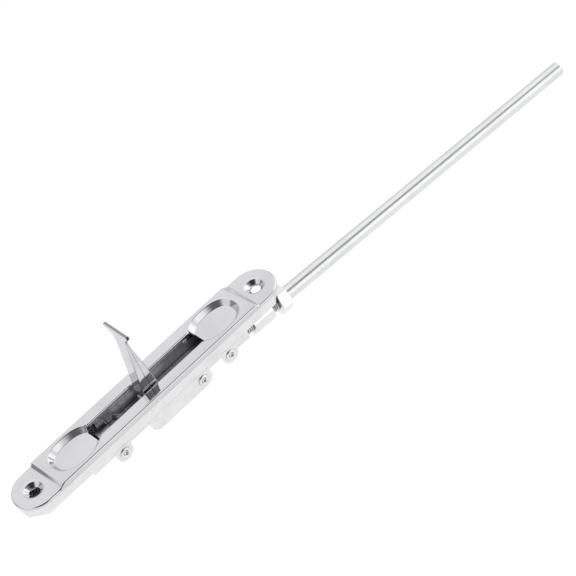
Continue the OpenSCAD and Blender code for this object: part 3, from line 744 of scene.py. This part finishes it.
FINISHES = {
    "polished_steel": metal(
        "polished_sheet", (0.66, 0.66, 0.69), (0.62, 0.62, 0.65), (0.06, 0.12),
        fineness=2200, stretch=30, cloud=40, speck=1500, bump=0.05, wave=0.03),
    # The lever's sheet gets painted shade on its tip's cut edges
    "lever_steel": metal(
        "lever_sheet", (0.66, 0.66, 0.685), (0.58, 0.58, 0.61), (0.08, 0.16),
        fineness=2500, stretch=1, cloud=90, speck=1400, bump=0.05, wave=0.03, shade_cut_edges=True),
    # The zinc, like the drawn rod below, gets painted shade inside the casing, in corners and in thread roots
    "zinc": metal(
        "zinc_plate", (0.80, 0.806, 0.80), (0.735, 0.742, 0.737), (0.16, 0.26),
        fineness=900, stretch=1, cloud=130, speck=700, bump=0.06, inside_shade=(0.66, 0.66, 0.67)),
    "bright_steel": metal(
        "drawn_rod", (0.77, 0.78, 0.78), (0.71, 0.72, 0.72), (0.20, 0.30),
        fineness=1800, stretch=60, cloud=50, speck=1100, bump=0.08, inside_shade=(0.70, 0.70, 0.71)),
    "spring_steel": metal(
        "spring_strip", (0.74, 0.75, 0.77), (0.62, 0.63, 0.66), (0.14, 0.26),
        fineness=1600, stretch=20, cloud=120, speck=1200, bump=0.10),
}

# Solids whose finish is not the one that their slot names
OWN_FINISH = {"bridge_plate": "spring_steel"}


def dress_solids():
    """Every solid that still shows gets its own finish or the one its slot names, smooth shading and split
    sharp edges."""
    for row in frame["record"]["subparts"]:
        solid = frame["nodes"][row["node"]]
        solid.data.materials.clear()
        finish = OWN_FINISH.get(row["node"], row["material_slot"])
        solid.data.materials.append(FINISHES[finish])
        solid.data.polygons.foreach_set("use_smooth", np.ones(len(solid.data.polygons), bool))
        weld = solid.modifiers.new("weld", "WELD")
        weld.merge_threshold = 1e-6
        split = solid.modifiers.new("sharp_edges", "EDGE_SPLIT")
        split.split_angle = np.radians(32)


def sky_part(tree, given, axis, low, high, dim):
    """A factor for the sky: 1 up to low along an axis, going smoothly to dim at high."""
    along = node(tree, "ShaderNodeVectorMath", operation="DOT_PRODUCT")
    along.inputs[1].default_value = axis
    fall = node(tree, "ShaderNodeMapRange", interpolation_type="SMOOTHSTEP")
    fall.inputs["From Min"].default_value = low
    fall.inputs["From Max"].default_value = high
    fall.inputs["To Min"].default_value = 1.0
    fall.inputs["To Max"].default_value = dim
    tree.links.new(given, along.inputs[0])
    tree.links.new(along.outputs["Value"], fall.inputs["Value"])
    return fall.outputs[0]


def sky_band(tree, parts, dim):
    """A factor for the sky: dim high up in front, and 1 elsewhere."""
    mask = None
    for axis, start, full in (("Z", 0.60, 0.70), ("Y", -0.05, -0.35)):
        edge = node(tree, "ShaderNodeMapRange", interpolation_type="SMOOTHSTEP")
        edge.inputs["From Min"].default_value = start
        edge.inputs["From Max"].default_value = full
        tree.links.new(parts.outputs[axis], edge.inputs["Value"])
        if mask:
            tree.links.new(mask, edge.inputs["To Max"])
        mask = edge.outputs[0]
    return tone(tree, mask, 1.0, dim)


def build_sky():
    """A white tent, a little lighter overhead. It is dim high in front, with a dark opening there, greyer at
    the back, and brighter to the right and low in front."""
    world = bpy.data.worlds.new("studio")
    bpy.context.scene.world = world
    world.use_nodes = True
    tree = world.node_tree
    sky = tree.nodes["Background"]
    place = node(tree, "ShaderNodeTexCoord")
    parts = node(tree, "ShaderNodeSeparateXYZ")
    ramp = node(tree, "ShaderNodeValToRGB")
    stops = ((0.0, 0.48), (0.45, 0.48), (0.70, 0.53), (0.90, 0.57))
    ramp.color_ramp.elements[0].position, ramp.color_ramp.elements[1].position = stops[0][0], stops[-1][0]
    for position, value in stops[1:-1]:
        ramp.color_ramp.elements.new(position)
    for element, (position, value) in zip(ramp.color_ramp.elements, stops):
        element.color = (value, value, value, 1)
    tree.links.new(place.outputs["Generated"], parts.inputs[0])
    tree.links.new(parts.outputs["Z"], ramp.inputs["Fac"])
    opening = ((-0.316, -0.656, 0.686), 0.74, 0.98, 0.16)
    low_back = ((0.20, 0.92, -0.33), 0.50, 0.86, 0.80)
    left_back = ((-0.66, 0.74, 0.12), 0.90, 0.98, 0.35)
    right_lamp = ((0.97, 0.0, 0.24), 0.75, 0.95, 1.6)
    front_lamp = ((0.33, -0.89, 0.30), 0.86, 0.96, 1.38)
    strength = tone(tree, sky_band(tree, parts, 0.26), 0.0, 2.0)
    for axis, low, high, dim in (opening, low_back, left_back, right_lamp, front_lamp):
        product = node(tree, "ShaderNodeMath", operation="MULTIPLY")
        tree.links.new(sky_part(tree, place.outputs["Generated"], axis, low, high, dim), product.inputs[0])
        tree.links.new(strength, product.inputs[1])
        strength = product.outputs[0]
    tree.links.new(ramp.outputs["Color"], sky.inputs["Color"])
    tree.links.new(strength, sky.inputs["Strength"])


def build_floor():
    """A glowing white table, so that the ground stays plain white under the part."""
    floor_mesh = bpy.data.meshes.new("floor")
    reach = 6.0
    corners = [(x * reach, y * reach, TABLE_Z) for x, y in ((-1, -1), (1, -1), (1, 1), (-1, 1))]
    floor_mesh.from_pydata(corners, [], [(0, 1, 2, 3)])
    floor = bpy.data.objects.new("floor", floor_mesh)
    bpy.context.scene.collection.objects.link(floor)
    paper = bpy.data.materials.new("white_table")
    paper.use_nodes = True
    shader = paper.node_tree.nodes["Principled BSDF"]
    shader.inputs["Base Color"].default_value = (0.05, 0.05, 0.05, 1)
    shader.inputs["Roughness"].default_value = 0.9
    shader.inputs["Specular IOR Level"].default_value = 0.0
    shader.inputs["Emission Color"].default_value = (1, 1, 1, 1)
    shader.inputs["Emission Strength"].default_value = 0.97
    floor_mesh.materials.append(paper)


def build_camera():
    """A long lens over the near side of the plate, rolled so that the bolt rises to the right."""
    back = Vector(CAMERA_BACK).normalized()
    right = Vector(CAMERA_RIGHT)
    right = (right - right.dot(back) * back).normalized()
    up = back.cross(right)
    data = bpy.data.cameras.new("camera")
    data.sensor_width = 36
    data.lens = LENS
    camera = bpy.data.objects.new("camera", data)
    turn = Matrix((right, up, back)).transposed().to_4x4()
    camera.matrix_world = Matrix.Translation(Vector(CAMERA_AT) * MM) @ turn
    bpy.context.scene.collection.objects.link(camera)
    bpy.context.scene.camera = camera


plate = build_faceplate()
plate.data.materials.append(FINISHES["polished_steel"])
for leaf in build_lever():
    leaf.data.materials.append(FINISHES["lever_steel"])
rod = build_rod()
rod.data.materials.append(FINISHES["bright_steel"])
for piece in (build_stud_thread(), build_rivet_dimples()):
    piece.data.materials.append(FINISHES["zinc"])
dress_solids()
build_sky()
build_floor()
build_camera()
bpy.context.scene.view_settings.view_transform = "Standard"
